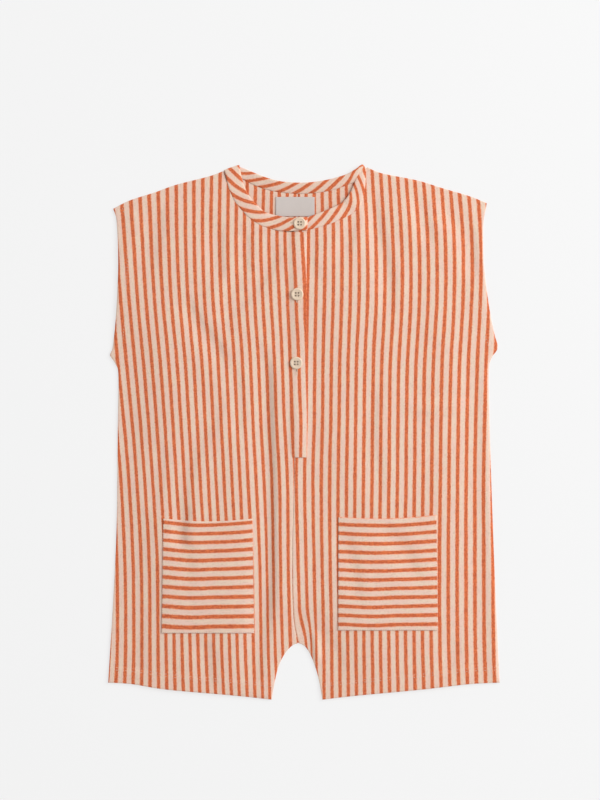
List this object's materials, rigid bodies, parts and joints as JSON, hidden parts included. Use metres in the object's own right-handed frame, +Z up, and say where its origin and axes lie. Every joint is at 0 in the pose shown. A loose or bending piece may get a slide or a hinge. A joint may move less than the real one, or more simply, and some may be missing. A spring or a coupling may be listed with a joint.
{
  "type": "child's sleeveless romper, laid flat",
  "caption": "Sleeveless child's romper laid flat: front and back halves with short legs, bias neckband, half placket with buttons, two patch pockets and a blank neck label.",
  "frame": {"origin": "centre of the garment's plan box, on the surface that it lies on", "axes": "+X to the wearer's left, +Y from the hems to the neck, +Z up, out of the front"},
  "size_m": [0.392, 0.5356, 0.0101],
  "materials": {
    "striped_jersey": "matt terry jersey, narrow orange stripes on cream",
    "inside_jersey": "matt back of the same striped jersey",
    "bias_jersey": "the same jersey cut on the bias, doubled",
    "label_tape": "smooth woven tape, blank",
    "button_plastic": "cream with a soft shine"
  },
  "bodies": {
    "root": {"front_right_panel": "striped_jersey", "front_left_panel": "striped_jersey", "placket_over": "striped_jersey", "pocket_right": "striped_jersey", "pocket_left": "striped_jersey", "back_right_panel": "inside_jersey", "back_left_panel": "inside_jersey", "neckband": "bias_jersey", "label": "label_tape", "button_1": "button_plastic", "button_2": "button_plastic", "button_3": "button_plastic"}
  },
  "joints": []
}
